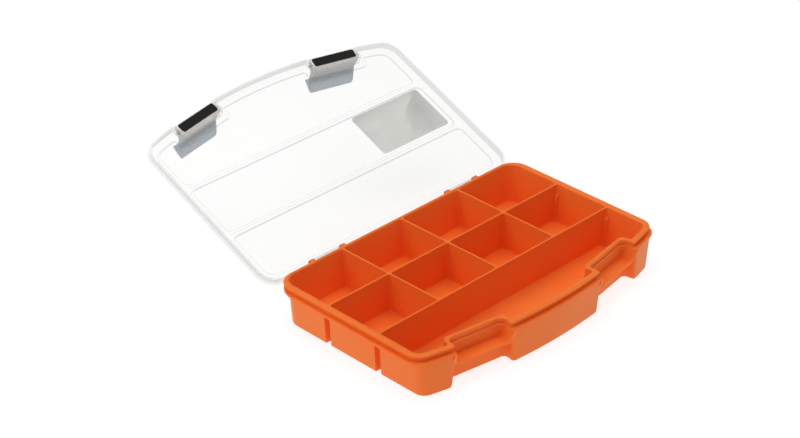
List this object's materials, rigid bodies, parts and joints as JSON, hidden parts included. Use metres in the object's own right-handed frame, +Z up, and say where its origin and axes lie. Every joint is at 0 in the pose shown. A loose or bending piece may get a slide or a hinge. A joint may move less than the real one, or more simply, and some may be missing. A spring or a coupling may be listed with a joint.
{
  "type": "small parts organiser case",
  "caption": "Shallow compartment case with fixed dividers, a clear hinged lid with raised fields and two flip-over latches.",
  "frame": {"origin": "middle of the tray's flat underside", "axes": "+X along the hinge, +Y from the latch side towards the hinge, +Z up; the lid stands open as in the picture"},
  "size_m": [0.26, 0.3211, 0.0958],
  "materials": {
    "tray_plastic": "satin moulded polypropylene",
    "lid_plastic": "clear moulded polypropylene",
    "label_film": "blank printed film",
    "latch_plastic": "milky translucent polypropylene",
    "grip_rubber": "ribbed soft insert",
    "pin_steel": "drawn wire"
  },
  "bodies": {
    "tray": {"tray_floor": "tray_plastic", "tray_wall_left": "tray_plastic", "tray_wall_right": "tray_plastic", "tray_wall_rear": "tray_plastic", "tray_wall_front": "tray_plastic", "tray_flange": "tray_plastic", "tray_lip": "tray_plastic", "catch_ledge_left": "tray_plastic", "catch_ledge_right": "tray_plastic", "hinge_ears": "tray_plastic", "row_divider_rear": "tray_plastic", "row_divider_front": "tray_plastic", "cross_divider_left": "tray_plastic", "cross_divider_centre": "tray_plastic", "cross_divider_right": "tray_plastic", "hinge_pin_left": "pin_steel", "hinge_pin_right": "pin_steel"},
    "lid": {"lid_panel": "lid_plastic", "lid_skirt_left": "lid_plastic", "lid_skirt_right": "lid_plastic", "lid_skirt_rear": "lid_plastic", "lid_skirt_front": "lid_plastic", "lid_label": "label_film", "latch_pin_left": "pin_steel", "latch_pin_right": "pin_steel"},
    "latch_left": {"latch_left": "latch_plastic", "latch_grip_left": "grip_rubber"},
    "latch_right": {"latch_right": "latch_plastic", "latch_grip_right": "grip_rubber"}
  },
  "joints": [
    {"name": "lid_hinge", "type": "hinge", "parent": "tray", "child": "lid", "pos_m": [0, 0.0813, 0.0295], "axis": [1, 0, 0], "range_deg": [0, 156.6]},
    {"name": "latch_left_hinge", "type": "hinge", "parent": "lid", "child": "latch_left", "pos_m": [-0.0715, 0.22419, 0.08807], "axis": [0.9867, 0.1491, 0.0645], "range_deg": [0, 175]},
    {"name": "latch_right_hinge", "type": "hinge", "parent": "lid", "child": "latch_right", "pos_m": [0.0715, 0.22419, 0.08807], "axis": [0.9867, -0.1491, -0.0645], "range_deg": [0, 175]}
  ]
}
